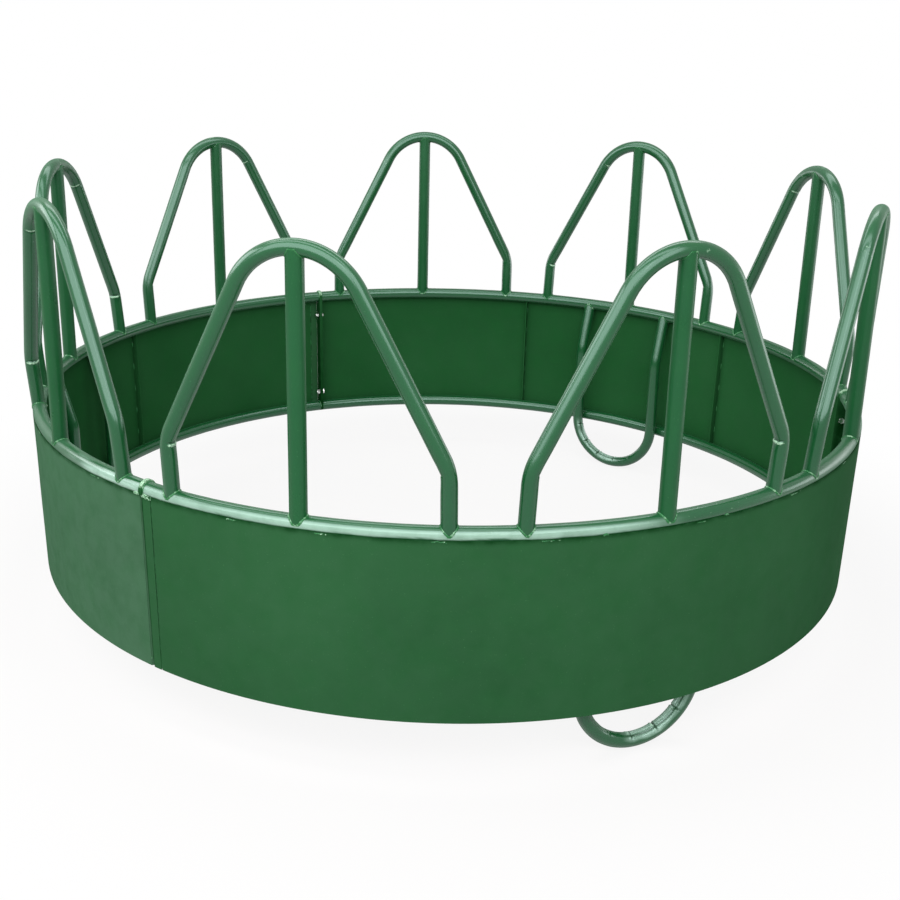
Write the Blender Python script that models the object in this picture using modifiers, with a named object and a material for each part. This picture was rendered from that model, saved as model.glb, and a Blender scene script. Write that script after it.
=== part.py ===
"""Horse hay feeder: a steel ring in three bolted segments, with nine tombstone loops on its top rail.

The ring stands on the XY plane with its axis on +Z. Segment a is centred on -Y. An angle on a
segment is measured from the segment's middle, positive to the right as seen from outside.
"""
import math

import bmesh
import bpy
from mathutils import Matrix, Vector

# Ring layout.
SEGMENT_COUNT = 3
LOOPS_PER_SEGMENT = 3
OUTSIDE_DIAMETER = 2.438
GROUND_CLEARANCE = 0.1535
SKIRT_HEIGHT = 0.4825
BOTTOM_RAIL_INSET = 0.009

# Tubes, by outside diameter.
RAIL_TUBE = 0.0381
LOOP_TUBE = 0.0381
BAR_TUBE = 0.0413
FOOT_TUBE = 0.0381

# Tombstone loop, along its centreline.
LOOP_HEIGHT = 0.611
LOOP_HALF_SPREAD = 0.331
LOOP_UPRIGHT = 0.147
LOOP_KNEE_RADIUS = 0.075
LOOP_CROWN_RADIUS = 0.1545

# Foot loop, along its centreline.
FOOT_HALF_SPREAD = 0.1574
FOOT_KNEE_DROP = 0.173
FOOT_KNEE_RADIUS = 0.060
FOOT_END_DROP = 0.010

# Skirt sheet, its stiffening ribs and the strip beside each joint.
SHEET_THICKNESS = 0.0016
SHEET_LIP_ROLL = 0.003
RIB_DEPTH = 0.020
RIB_THICKNESS = 0.004
STRIP_WIDTH = 0.029
STRIP_THICKNESS = 0.0025
STRIP_GROOVE = 0.0015

# Bolted joint.
PLATE_THICKNESS = 0.005
PLATE_RIM = 0.005
BOLT_DIAMETER = 0.010
BOLT_HOLE_PLAY = 0.001
BOLT_HEAD_FLATS = 0.016
BOLT_HEAD_HEIGHT = 0.0064
NUT_HEIGHT = 0.0084
BOLT_END_PAST_NUT = 0.003
UPPER_BOLT_DROP = 0.072
LOWER_BOLT_RISE = 0.059
BOLT_INSET = 0.004

# Clearances between neighbouring pieces, and how far a notched end runs past the tube it sits on.
GAP = 0.0003
SADDLE_LIFT = 0.004

# Facets.
STEPS_PER_LOOP = 8
TUBE_SIDES = 12
KNEE_STEPS = 3
CROWN_STEPS = 10
FOOT_ARC_STEPS = 11
LIP_STEPS = 3
ROUND_STEPS = 6
HOLE_SIDES = 10
END_LAND = 0.004
SHARP_ANGLE = math.radians(40)

# Sizes that follow from those above.
RAIL_RADIUS = RAIL_TUBE / 2
LOOP_RADIUS = LOOP_TUBE / 2
BAR_RADIUS = BAR_TUBE / 2
FOOT_RADIUS = FOOT_TUBE / 2
RING_RADIUS = OUTSIDE_DIAMETER / 2 - RAIL_RADIUS
BOTTOM_RING_RADIUS = RING_RADIUS - BOTTOM_RAIL_INSET
BOTTOM_RAIL_Z = GROUND_CLEARANCE + RAIL_RADIUS
TOP_RAIL_Z = GROUND_CLEARANCE + SKIRT_HEIGHT - RAIL_RADIUS
SEGMENT_HALF = math.pi / SEGMENT_COUNT
LOOP_PITCH = 2 * SEGMENT_HALF / LOOPS_PER_SEGMENT
RAIL_STEP = LOOP_PITCH / STEPS_PER_LOOP
FACE_RATIO = math.cos(math.pi / TUBE_SIDES)
SHEET_SEAT = RAIL_RADIUS - SHEET_THICKNESS
BOTTOM_SEAT = RAIL_RADIUS + GAP
SHEET_TOP_Z = TOP_RAIL_Z - math.sqrt((RAIL_RADIUS + GAP) ** 2 - SHEET_SEAT ** 2)
SHEET_BOTTOM_Z = BOTTOM_RAIL_Z - RAIL_RADIUS
LIP_DEPTH = SHEET_LIP_ROLL - SHEET_THICKNESS / 2
PLATE_MIDDLE = GAP / 2 + PLATE_THICKNESS / 2
RAIL_END = SEGMENT_HALF - (GAP / 2 + PLATE_THICKNESS + GAP) / RING_RADIUS
RAIL_LAND = RAIL_END - END_LAND / RING_RADIUS
STRIP_END = SEGMENT_HALF - STRIP_WIDTH / RING_RADIUS
SHEET_START = STRIP_END - STRIP_GROOVE / RING_RADIUS


def colour_from(red, green, blue):
    """Turn a colour as seen on screen, 0 to 255, into a material's linear colour."""
    return [(value / 255) ** 2.2 for value in (red, green, blue)] + [1.0]


def make_material(name, colour, roughness, metallic):
    material = bpy.data.materials.new(name)
    material.use_nodes = True
    shader = material.node_tree.nodes["Principled BSDF"]
    shader.inputs["Base Color"].default_value = colour
    shader.inputs["Roughness"].default_value = roughness
    shader.inputs["Metallic"].default_value = metallic
    material.diffuse_color = colour
    return material


def make_collection(name):
    collection = bpy.data.collections.new(name)
    bpy.context.scene.collection.children.link(collection)
    return collection


def ring_point(angle, radius, height):
    """A point on the ring, at an angle from the middle of a segment."""
    return Vector((radius * math.sin(angle), -radius * math.cos(angle), height))


def ring_angles(first, last):
    """Corner angles that every curved piece of a segment shares between two angles."""
    corners = {first, last, RAIL_END, RAIL_LAND, -RAIL_END, -RAIL_LAND, -STRIP_END, -SHEET_START}
    steps = LOOPS_PER_SEGMENT * STEPS_PER_LOOP
    corners.update(-SEGMENT_HALF + RAIL_STEP * step for step in range(1, steps))
    return sorted(angle for angle in corners if first <= angle <= last)


def smooth(mesh):
    mesh.shade_smooth()
    mesh.set_sharp_from_angle(angle=SHARP_ANGLE)


def mesh_of(thing):
    """The evaluated mesh of an object with its loose caps welded; the object is removed."""
    bpy.context.view_layer.update()
    evaluated = thing.evaluated_get(bpy.context.evaluated_depsgraph_get())
    mesh = bpy.data.meshes.new_from_object(evaluated)
    mesh.transform(thing.matrix_world)
    welder = bmesh.new()
    welder.from_mesh(mesh)
    bmesh.ops.remove_doubles(welder, verts=welder.verts, dist=0.00001)
    bmesh.ops.recalc_face_normals(welder, faces=welder.faces)
    welder.to_mesh(mesh)
    welder.free()
    smooth(mesh)
    bpy.data.objects.remove(thing)
    return mesh


def place(name, mesh, collection, parent=None, turn=0.0):
    """One object of a mesh, turned about the ring's axis."""
    thing = bpy.data.objects.new(name, mesh)
    thing.rotation_euler.z = turn
    thing.parent = parent
    collection.objects.link(thing)
    return thing


def hide_cutter(thing):
    thing.hide_render = True
    thing.display_type = "WIRE"
    return thing


def tube_mesh(points, radius, turned_flat=False):
    """A round tube along points; turned_flat puts a flat, not a corner, in the bend's plane."""
    curve = bpy.data.curves.new("tube", "CURVE")
    curve.dimensions = "3D"
    curve.bevel_depth = radius
    curve.bevel_resolution = (TUBE_SIDES - 4) // 2
    curve.use_fill_caps = True
    spline = curve.splines.new("POLY")
    spline.points.add(len(points) - 1)
    for spot, point in zip(spline.points, points):
        spot.co = (*point, 1.0)
        spot.tilt = math.pi / TUBE_SIDES if turned_flat else 0.0
    return mesh_of(place("tube", curve, bpy.context.scene.collection))


def outline_mesh(outline, holes, thickness):
    """A flat plate standing in the radial plane, from an outline of (radius, height) points."""
    curve = bpy.data.curves.new("plate", "CURVE")
    curve.dimensions = "2D"
    curve.fill_mode = "BOTH"
    curve.extrude = thickness / 2
    for ring in [outline] + holes:
        spline = curve.splines.new("POLY")
        spline.points.add(len(ring) - 1)
        spline.use_cyclic_u = True
        for spot, point in zip(spline.points, ring):
            spot.co = (*point, 0.0, 1.0)
    plate = place("plate", curve, bpy.context.scene.collection)
    upright = Matrix(((0, 0, -1), (-1, 0, 0), (0, 1, 0)))
    plate.matrix_world = upright.to_4x4()
    return mesh_of(plate)


def arc(centre, radius, first, last, steps):
    """Points of an arc in a plane, from one angle to another."""
    turn = (last - first) / steps
    angles = [first + turn * step for step in range(steps + 1)]
    return [(centre[0] + radius * math.cos(a), centre[1] + radius * math.sin(a)) for a in angles]


def cut(thing, cutter):
    """Take a cutter's shape out of an object, exactly."""
    boolean = thing.modifiers.new("cut", "BOOLEAN")
    boolean.operation = "DIFFERENCE"
    boolean.solver = "EXACT"
    boolean.object = cutter


def join(thing, other):
    """Unite an object with another, exactly."""
    boolean = thing.modifiers.new("join", "BOOLEAN")
    boolean.operation = "UNION"
    boolean.solver = "EXACT"
    boolean.object = other


def rail_points(radius, height):
    return [ring_point(angle, radius, height) for angle in ring_angles(-RAIL_END, RAIL_END)]


def rail_cutters(collection):
    """Both rails, a clearance fatter, to notch the pieces that sit on them."""
    rails = (("top_rail_cutter", RING_RADIUS, TOP_RAIL_Z),
             ("bottom_rail_cutter", BOTTOM_RING_RADIUS, BOTTOM_RAIL_Z))
    cutters = []
    for name, radius, height in rails:
        mesh = tube_mesh(rail_points(radius, height), RAIL_RADIUS + GAP)
        cutters.append(hide_cutter(place(name, mesh, collection)))
    return cutters


def loop_slant():
    """Distance of a loop's feet from the axis, square to the loop, and its length up the slant.

    The loop is flat. Its feet stand on a chord of the top rail and its crown is over the rail.
    """
    chord = math.sqrt(RING_RADIUS ** 2 - LOOP_HALF_SPREAD ** 2)
    return chord, math.hypot(LOOP_HEIGHT, RING_RADIUS - chord)


def loop_outline():
    """Centreline of a tombstone loop in its own plane, from the right foot to the left."""
    length = loop_slant()[1]
    crown = Vector((0.0, length - LOOP_CROWN_RADIUS))
    knee = Vector((LOOP_HALF_SPREAD, LOOP_UPRIGHT))
    reach = knee - crown
    touch = math.atan2(reach.y, reach.x) + math.acos(LOOP_CROWN_RADIUS / reach.length)
    knee_set = LOOP_KNEE_RADIUS * math.tan(touch / 2)
    knee_centre = (knee.x - LOOP_KNEE_RADIUS, knee.y - knee_set)
    half = [(LOOP_HALF_SPREAD, SADDLE_LIFT)]
    half += arc(knee_centre, LOOP_KNEE_RADIUS, 0.0, touch, KNEE_STEPS)
    half += arc(crown, LOOP_CROWN_RADIUS, touch, math.pi / 2, CROWN_STEPS // 2)
    return half + [(-side, rise) for side, rise in half[-2::-1]]


def loop_points(angle):
    """Centreline of the loop at an angle from the middle of a segment."""
    chord, length = loop_slant()
    lean = (RING_RADIUS - chord) / length
    climb = LOOP_HEIGHT / length
    turn = Matrix.Rotation(angle, 3, "Z")
    return [turn @ Vector((side, -chord - lean * rise, TOP_RAIL_Z + climb * rise))
            for side, rise in loop_outline()]


def loop_mesh(angle, top_cutter, cutters):
    """A tombstone loop, its feet notched over the top rail."""
    loop = place("loop", tube_mesh(loop_points(angle), LOOP_RADIUS), cutters)
    cut(loop, top_cutter)
    return mesh_of(loop)


def bar_mesh(angle, top_cutter, cutters):
    """A loop's centre bar, notched over the rail and under the loop's crown."""
    crown = tube_mesh(loop_points(angle), LOOP_RADIUS + GAP)
    crown_cutter = hide_cutter(place("crown_cutter", crown, cutters))
    foot = ring_point(angle, RING_RADIUS, TOP_RAIL_Z + SADDLE_LIFT)
    head = ring_point(angle, RING_RADIUS, TOP_RAIL_Z + LOOP_HEIGHT - SADDLE_LIFT)
    bar = place("bar", tube_mesh([foot, head], BAR_RADIUS), cutters)
    cut(bar, top_cutter)
    cut(bar, crown_cutter)
    return mesh_of(bar)


def foot_points():
    """Centreline of the foot loop: down from the top rail, inside the bottom rail, and round."""
    half_step = math.pi / FOOT_ARC_STEPS / 2
    rail_inside = (BOTTOM_RING_RADIUS - RAIL_RADIUS) * math.cos(RAIL_STEP / 2)
    leg_ring = rail_inside - GAP - FOOT_RADIUS
    leg_depth = math.sqrt(leg_ring ** 2 - FOOT_HALF_SPREAD ** 2)
    top_depth = math.sqrt(RING_RADIUS ** 2 - FOOT_HALF_SPREAD ** 2)
    centre = (0.0, (FOOT_HALF_SPREAD + FOOT_RADIUS * FACE_RATIO) * math.cos(half_step))
    slant = math.atan2(top_depth - leg_depth, FOOT_KNEE_DROP)
    knee_set = FOOT_KNEE_RADIUS * math.tan(slant / 2)
    knee_centre = (leg_depth + FOOT_KNEE_RADIUS, TOP_RAIL_Z - FOOT_KNEE_DROP - knee_set)
    knee = arc(knee_centre, FOOT_KNEE_RADIUS, math.pi, math.pi - slant, KNEE_STEPS)
    end = (top_depth - FOOT_END_DROP * math.tan(slant), TOP_RAIL_Z - FOOT_END_DROP)
    leg = [end] + knee[::-1]
    bend = arc(centre, FOOT_HALF_SPREAD, 0.0, -math.pi, FOOT_ARC_STEPS)
    points = [Vector((FOOT_HALF_SPREAD, -depth, height)) for depth, height in leg]
    points += [Vector((side, -leg_depth, height)) for side, height in bend]
    points += [Vector((-FOOT_HALF_SPREAD, -depth, height)) for depth, height in leg[::-1]]
    return points


def foot_mesh(top_cutter, cutters):
    foot = place("foot", tube_mesh(foot_points(), FOOT_RADIUS, turned_flat=True), cutters)
    cut(foot, top_cutter)
    return mesh_of(foot)


def skin_mesh(path, thickness):
    """A thin skin between the rails, from (angle, inward step) points from left to right."""
    top_radius = RING_RADIUS + SHEET_SEAT + thickness / 2
    bottom_radius = BOTTOM_RING_RADIUS + BOTTOM_SEAT + thickness / 2
    shape = bmesh.new()
    upper = [shape.verts.new(ring_point(a, top_radius - step, SHEET_TOP_Z)) for a, step in path]
    edges = [shape.edges.new(pair) for pair in zip(upper, upper[1:])]
    pulled = bmesh.ops.extrude_edge_only(shape, edges=edges)["geom"]
    lower = [item for item in pulled if isinstance(item, bmesh.types.BMVert)]
    lower.sort(key=lambda vert: math.atan2(vert.co.x, -vert.co.y))
    for vert, (angle, step) in zip(lower, path):
        vert.co = ring_point(angle, bottom_radius - step, SHEET_BOTTOM_Z)
    bmesh.ops.recalc_face_normals(shape, faces=shape.faces)
    mesh = bpy.data.meshes.new("skin")
    shape.to_mesh(mesh)
    shape.free()
    skin = place("skin", mesh, bpy.context.scene.collection)
    shell = skin.modifiers.new("shell", "SOLIDIFY")
    shell.thickness = thickness
    shell.offset = 0.0
    shell.use_even_offset = True
    return mesh_of(skin)


def sheet_mesh():
    """The segment's sheet, its right edge rolled inward in front of the end plate."""
    flat_end = GAP / 2 + SHEET_THICKNESS / 2 + SHEET_LIP_ROLL
    path = [(angle, 0.0) for angle in ring_angles(-SHEET_START, RAIL_END)]
    for step in range(LIP_STEPS + 1):
        turn = math.pi / 2 * step / LIP_STEPS
        along = flat_end - SHEET_LIP_ROLL * math.sin(turn)
        inward = SHEET_LIP_ROLL * (1 - math.cos(turn))
        path.append((SEGMENT_HALF - along / RING_RADIUS, inward))
    return skin_mesh(path, SHEET_THICKNESS)


def strip_mesh():
    """The flat strip between the joint and the sheet's square left edge."""
    first = -SEGMENT_HALF + GAP / 2 / RING_RADIUS
    return skin_mesh([(angle, 0.0) for angle in ring_angles(first, -STRIP_END)], STRIP_THICKNESS)


def rail_line(height):
    """Radius of the straight line between the two rails' centres at a height."""
    share = (height - BOTTOM_RAIL_Z) / (TOP_RAIL_Z - BOTTOM_RAIL_Z)
    return BOTTOM_RING_RADIUS + BOTTOM_RAIL_INSET * share


def bolt_heights():
    return {"upper": TOP_RAIL_Z - UPPER_BOLT_DROP, "lower": BOTTOM_RAIL_Z + LOWER_BOLT_RISE}


def end_plate_mesh():
    """The plate that closes both rails: a round rim over the top rail and two bolt holes."""
    rim = RAIL_RADIUS + PLATE_RIM
    shoulder = SHEET_TOP_Z + 2 * GAP
    top_edge = RING_RADIUS + SHEET_SEAT - LIP_DEPTH - GAP
    bottom_edge = BOTTOM_RING_RADIUS + BOTTOM_SEAT - LIP_DEPTH - GAP
    first = math.asin((shoulder - TOP_RAIL_Z) / rim)
    low = -math.acos((bottom_edge - BOTTOM_RING_RADIUS) / RAIL_RADIUS)
    outline = [(top_edge, shoulder)]
    outline += arc((RING_RADIUS, TOP_RAIL_Z), rim, first, math.pi, ROUND_STEPS)
    outline += arc((BOTTOM_RING_RADIUS, BOTTOM_RAIL_Z), RAIL_RADIUS, -math.pi, low, ROUND_STEPS)
    hole = (BOLT_DIAMETER + BOLT_HOLE_PLAY) / 2
    full = 2 * math.pi
    holes = [arc((rail_line(height) - BOLT_INSET, height), hole, 0.0, full, HOLE_SIDES)[:-1]
             for height in bolt_heights().values()]
    return outline_mesh(outline, holes, PLATE_THICKNESS)


def rib_mesh(angle, top_cutter, bottom_cutter, cutters):
    """A flat bar on edge behind the sheet, notched over both rails."""
    outer_top = RING_RADIUS + SHEET_SEAT - GAP
    outer_bottom = BOTTOM_RING_RADIUS + BOTTOM_SEAT - GAP
    outline = [(outer_top, SHEET_TOP_Z), (outer_top - RIB_DEPTH, SHEET_TOP_Z),
               (outer_bottom - RIB_DEPTH, BOTTOM_RAIL_Z), (outer_bottom, BOTTOM_RAIL_Z)]
    rib = place("rib", outline_mesh(outline, [], RIB_THICKNESS), cutters, turn=angle)
    cut(rib, top_cutter)
    cut(rib, bottom_cutter)
    return mesh_of(rib)


def prism_mesh(sides, radius, start, length):
    """A prism along +X, from a start to a length further."""
    shape = bmesh.new()
    lie = Matrix.Translation((start + length / 2, 0, 0)) @ Matrix.Rotation(math.pi / 2, 4, "Y")
    bmesh.ops.create_cone(shape, cap_ends=True, segments=sides, radius1=radius, radius2=radius,
                          depth=length, matrix=lie)
    mesh = bpy.data.meshes.new("prism")
    shape.to_mesh(mesh)
    shape.free()
    return mesh


def bolt_meshes(cutters):
    """A hexagon bolt and its nut, lying along +X with the joint at zero and the head at -X."""
    corner = BOLT_HEAD_FLATS / 2 / math.cos(math.pi / 6)
    grip = GAP / 2 + PLATE_THICKNESS + GAP
    shank_end = grip + NUT_HEIGHT + BOLT_END_PAST_NUT
    shank_start = -grip - BOLT_HEAD_HEIGHT / 2
    bolt = place("bolt", prism_mesh(6, corner, -grip - BOLT_HEAD_HEIGHT, BOLT_HEAD_HEIGHT), cutters)
    shank = prism_mesh(TUBE_SIDES, BOLT_DIAMETER / 2, shank_start, shank_end - shank_start)
    join(bolt, hide_cutter(place("bolt_shank", shank, cutters)))
    nut = place("nut", prism_mesh(6, corner, grip, NUT_HEIGHT), cutters)
    bore = prism_mesh(TUBE_SIDES, BOLT_DIAMETER / 2 + GAP, grip - NUT_HEIGHT, 3 * NUT_HEIGHT)
    cut(nut, hide_cutter(place("nut_bore", bore, cutters)))
    return mesh_of(bolt), mesh_of(nut)


def paint(mesh, material):
    mesh.materials.clear()
    mesh.materials.append(material)


def segment_meshes(cutters, enamel):
    """The meshes that the three segments share."""
    top_cutter, bottom_cutter = rail_cutters(cutters)
    meshes = {
        "top_rail": tube_mesh(rail_points(RING_RADIUS, TOP_RAIL_Z), RAIL_RADIUS),
        "bottom_rail": tube_mesh(rail_points(BOTTOM_RING_RADIUS, BOTTOM_RAIL_Z), RAIL_RADIUS),
        "skirt_sheet": sheet_mesh(),
        "joint_strip": strip_mesh(),
        "end_plate": end_plate_mesh(),
        "foot_loop": foot_mesh(top_cutter, cutters),
    }
    for number in range(1, LOOPS_PER_SEGMENT + 1):
        angle = (number - 0.5) * LOOP_PITCH - SEGMENT_HALF
        meshes["tombstone_loop", number] = loop_mesh(angle, top_cutter, cutters)
        meshes["centre_bar", number] = bar_mesh(angle, top_cutter, cutters)
        if number < LOOPS_PER_SEGMENT:
            rib_angle = angle + LOOP_PITCH / 2
            meshes["skirt_rib", number] = rib_mesh(rib_angle, top_cutter, bottom_cutter, cutters)
    for mesh in meshes.values():
        paint(mesh, enamel)
    return meshes


def build_segment(letter, turn, meshes, parts):
    """One third of the ring: rails, skirt, end plates, foot, and loops with their bars."""
    hub = bpy.data.objects.new("segment_" + letter, None)
    hub.rotation_euler.z = turn
    parts.objects.link(hub)
    for kind, mesh in meshes.items():
        if kind != "end_plate":
            name, number = (kind, "") if isinstance(kind, str) else kind
            place("{}_{}{}".format(name, letter, number), mesh, parts, hub)
    for side, sign in (("left", -1), ("right", 1)):
        plate = place("end_plate_{}_{}".format(letter, side), meshes["end_plate"], parts, hub)
        end = sign * SEGMENT_HALF
        plate.rotation_euler.z = end
        plate.location = -sign * PLATE_MIDDLE * Vector((math.cos(end), math.sin(end), 0.0))


def build_joint(mark, turn, bolt, nut, parts):
    """The two bolts and nuts that hold neighbouring end plates together."""
    hub = bpy.data.objects.new("joint_" + mark, None)
    hub.rotation_euler.z = turn
    parts.objects.link(hub)
    for level, height in bolt_heights().items():
        for kind, mesh in (("joint_bolt", bolt), ("joint_nut", nut)):
            piece = place("_".join((kind, mark, level)), mesh, parts, hub)
            piece.location = ring_point(0.0, rail_line(height) - BOLT_INSET, height)


def main():
    for thing in list(bpy.data.objects):
        bpy.data.objects.remove(thing)
    parts = make_collection("horse_hay_feeder")
    cutters = make_collection("cutters")
    enamel = make_material("green_enamel", colour_from(46, 100, 62), 0.32, 0.0)
    zinc = make_material("zinc_plated_steel", colour_from(178, 182, 184), 0.35, 1.0)
    meshes = segment_meshes(cutters, enamel)
    bolt, nut = bolt_meshes(cutters)
    paint(bolt, zinc)
    paint(nut, zinc)
    letters = [chr(ord("a") + index) for index in range(SEGMENT_COUNT)]
    for index, letter in enumerate(letters):
        turn = 2 * SEGMENT_HALF * index
        build_segment(letter, turn, meshes, parts)
        following = letters[(index + 1) % SEGMENT_COUNT]
        build_joint(letter + following, turn + SEGMENT_HALF, bolt, nut, parts)


main()
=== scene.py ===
"""Looks of a horse hay feeder: fine tube, sheet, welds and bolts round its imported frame.

Lengths are in metres. The ring stands on the XY plane with its axis on +Z, and segment a is centred
on -Y. An angle on a segment is measured from the segment's middle, positive to the right as seen
from outside.
"""
from bisect import bisect_right
from math import acos, asin, atan2, cos, degrees, dist, exp, hypot, pi, radians, sin, sqrt, tan, tau

import bpy
from mathutils import Matrix, Vector, noise


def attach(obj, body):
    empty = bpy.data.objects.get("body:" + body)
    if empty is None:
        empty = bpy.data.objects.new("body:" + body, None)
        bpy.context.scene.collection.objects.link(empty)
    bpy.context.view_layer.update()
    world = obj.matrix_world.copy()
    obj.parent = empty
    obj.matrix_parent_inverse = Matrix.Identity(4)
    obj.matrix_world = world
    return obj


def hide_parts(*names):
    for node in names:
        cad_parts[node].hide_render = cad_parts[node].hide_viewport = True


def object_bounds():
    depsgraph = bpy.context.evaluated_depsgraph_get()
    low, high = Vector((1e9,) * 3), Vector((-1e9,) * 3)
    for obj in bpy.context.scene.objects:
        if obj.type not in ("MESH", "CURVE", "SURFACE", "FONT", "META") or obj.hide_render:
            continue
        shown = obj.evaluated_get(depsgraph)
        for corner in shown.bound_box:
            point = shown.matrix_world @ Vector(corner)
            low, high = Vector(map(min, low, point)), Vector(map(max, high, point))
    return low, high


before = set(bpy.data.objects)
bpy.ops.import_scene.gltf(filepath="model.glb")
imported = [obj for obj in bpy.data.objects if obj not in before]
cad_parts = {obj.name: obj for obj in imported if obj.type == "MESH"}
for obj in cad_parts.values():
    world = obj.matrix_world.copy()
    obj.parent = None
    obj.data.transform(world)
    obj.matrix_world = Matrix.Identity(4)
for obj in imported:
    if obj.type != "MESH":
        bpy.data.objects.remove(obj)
CAD_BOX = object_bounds()
BOX_MARGIN = 0.00002
UP = Vector((0, 0, 1))

# Ring layout, tubes and sheet, as in the solids.
SEGMENTS = "abc"
LOOPS_PER_SEGMENT = 3
OUTSIDE_DIAMETER = 2.438
GROUND_CLEARANCE = 0.1535
SKIRT_HEIGHT = 0.4825
BOTTOM_RAIL_INSET = 0.009
TUBE = 0.0381
BAR_TUBE = 0.0413
LOOP_HEIGHT = 0.611
LOOP_HALF_SPREAD = 0.331
LOOP_UPRIGHT = 0.147
LOOP_CROWN_RADIUS = 0.1545
FOOT_HALF_SPREAD = 0.1574
FOOT_KNEE_DROP = 0.173
FOOT_KNEE_RADIUS = 0.060
SHEET_THICKNESS = 0.0016
RIB_DEPTH = 0.020
RIB_THICKNESS = 0.004
STRIP_WIDTH = 0.029
STRIP_THICKNESS = 0.0025
PLATE_THICKNESS = 0.005
PLATE_RIM = 0.005
BOLT_DIAMETER = 0.010
BOLT_HOLE_PLAY = 0.001
BOLT_FLATS = 0.016
BOLT_HEAD_HEIGHT = 0.0064
NUT_HEIGHT = 0.0084
BOLT_END_PAST_NUT = 0.003
UPPER_BOLT_DROP = 0.072
LOWER_BOLT_RISE = 0.059
BOLT_INSET = 0.004
GAP = 0.0003

# Sizes that the looks make finer or softer than the solids.
LOOP_KNEE_RADIUS = 0.140
SHEET_LIP_ROLL = 0.009
STRIP_GROOVE = 0.0024
JOINT_GROOVE = 0.0050
PLATE_EDGE = 0.0008
RIB_EDGE = 0.0007
RIB_INSET = 0.05
THREAD_PITCH = 0.0015
THREAD_DEPTH = 0.0007
NUT_CHAMFER = 0.0006

# Sizes that follow from those above.
TUBE_RADIUS = TUBE / 2
BAR_RADIUS = BAR_TUBE / 2
RING_RADIUS = OUTSIDE_DIAMETER / 2 - TUBE_RADIUS
OUTER_RADIUS = RING_RADIUS + TUBE_RADIUS
BOTTOM_RING_RADIUS = RING_RADIUS - BOTTOM_RAIL_INSET
BOTTOM_RAIL_Z = GROUND_CLEARANCE + TUBE_RADIUS
TOP_RAIL_Z = GROUND_CLEARANCE + SKIRT_HEIGHT - TUBE_RADIUS
SEGMENT_HALF = pi / len(SEGMENTS)
LOOP_PITCH = 2 * SEGMENT_HALF / LOOPS_PER_SEGMENT
SHEET_SEAT = TUBE_RADIUS - SHEET_THICKNESS
BOTTOM_SEAT = TUBE_RADIUS + GAP
SHEET_TOP_Z = TOP_RAIL_Z - sqrt((TUBE_RADIUS + GAP) ** 2 - SHEET_SEAT ** 2)
SHEET_BOTTOM_Z = BOTTOM_RAIL_Z - TUBE_RADIUS
JOINT_GRIP = GAP / 2 + PLATE_THICKNESS + GAP
PLATE_MIDDLE = GAP / 2 + PLATE_THICKNESS / 2
RAIL_END = SEGMENT_HALF - JOINT_GRIP / RING_RADIUS
STRIP_END = SEGMENT_HALF - STRIP_WIDTH / RING_RADIUS
SHEET_START = STRIP_END - STRIP_GROOVE / RING_RADIUS
LOOP_CHORD = sqrt(RING_RADIUS ** 2 - LOOP_HALF_SPREAD ** 2)
LOOP_LENGTH = hypot(LOOP_HEIGHT, RING_RADIUS - LOOP_CHORD)
LOOP_LEAN = (RING_RADIUS - LOOP_CHORD) / LOOP_LENGTH
LOOP_CLIMB = LOOP_HEIGHT / LOOP_LENGTH

# Welds.
BEAD_RADIUS = 0.0026
BEAD_STEP = 0.0014
BEAD_RIPPLE = 0.0042
BEAD_SIDES = 10
BEAD_TAPER = 0.005
STITCH_LENGTH = 0.032
STITCH_TURNS = (-47.5, -37.5, -25.0, -13.8, 4.0, 19.0, 33.0, 51.0)
STITCH_DROP = 0.0035
STITCH_SINK = 0.0012
LUMP_SINK = 0.0009
FOOT_TACK = 0.024
FOOT_TACK_SINK = 0.0008
RIB_TACK = 0.02
RIB_BEAD_HEIGHTS = (0.24, 0.32, 0.40, 0.48, 0.56)
SEAM_RADIUS = 0.0017
BLOB_RADIUS = 0.0060
BLOB_SINK = 0.0016
# Blobs at a joint: place along the rail, drop, size, stretch and seed.
JOINT_BLOBS = ((0.007, 0.001, 1.0, 0.8, 1), (0.016, 0.003, 0.9, 1.3, 2),
               (0.025, 0.004, 0.8, 0.6, 3), (-0.014, 0.0, 0.8, 1.2, 4),
               (-0.022, 0.001, 0.6, 0.5, 5))
SPATTER_RADIUS = 0.0009
SPATTER_COUNT = 46
WELD_LIMIT = 1.2204

# Marks that bending leaves in a tube.
CREASE_DEPTH = 0.0024
CREASE_WIDTH = 0.0036
CREASE_LIP = 0.0010
FAINT_CREASE = 0.25
DEEP_KNEES = {"a1": (-1,), "a2": (1,), "b2": (1,), "c2": (-1,), "c3": (-1,)}
DEEP_CROWNS = {"b1": (1,), "b2": (1,), "c1": (-1,), "c2": (-1,), "c3": (-1,)}
KNEE_FLATTENING = 0.03
CROWN_FLATTENING = 0.035
FOOT_FLATTENING = 0.05
FOOT_WRINKLES = ((0.07, 1.0), (0.225, 1.3), (0.375, 1.3), (0.53, 1.0), (0.68, 0.3), (0.86, 0.2))
FOLD_ANGLE = 34.0
FOLD_DEPTH = 0.0018
PAINT_WAVE = 0.00022
SHEET_BULGE = 0.0007

# Worn places, and painted highlights, painted light and painted shade.
SHADE_DEPTH = 0.016
SCUFF_HEIGHT = 1.16
RAIL_HIGHLIGHT = 0.82
FOOT_WEAR_AND_REFLECTION = 0.8
HIGHLIGHT_FADE = (-12.0, 6.0)
HIGHLIGHT_RISE = (44.0, 51.0)
HIGHLIGHT_STREAK_START = (40.0, 48.0)
# How much lighter each segment's outer sheet face is painted, as painted light; the strips take a's on
# both faces.
SHEET_PAINTED_LIGHT = {"a": 0.035, "b": 0.03, "c": 0.13}

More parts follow.
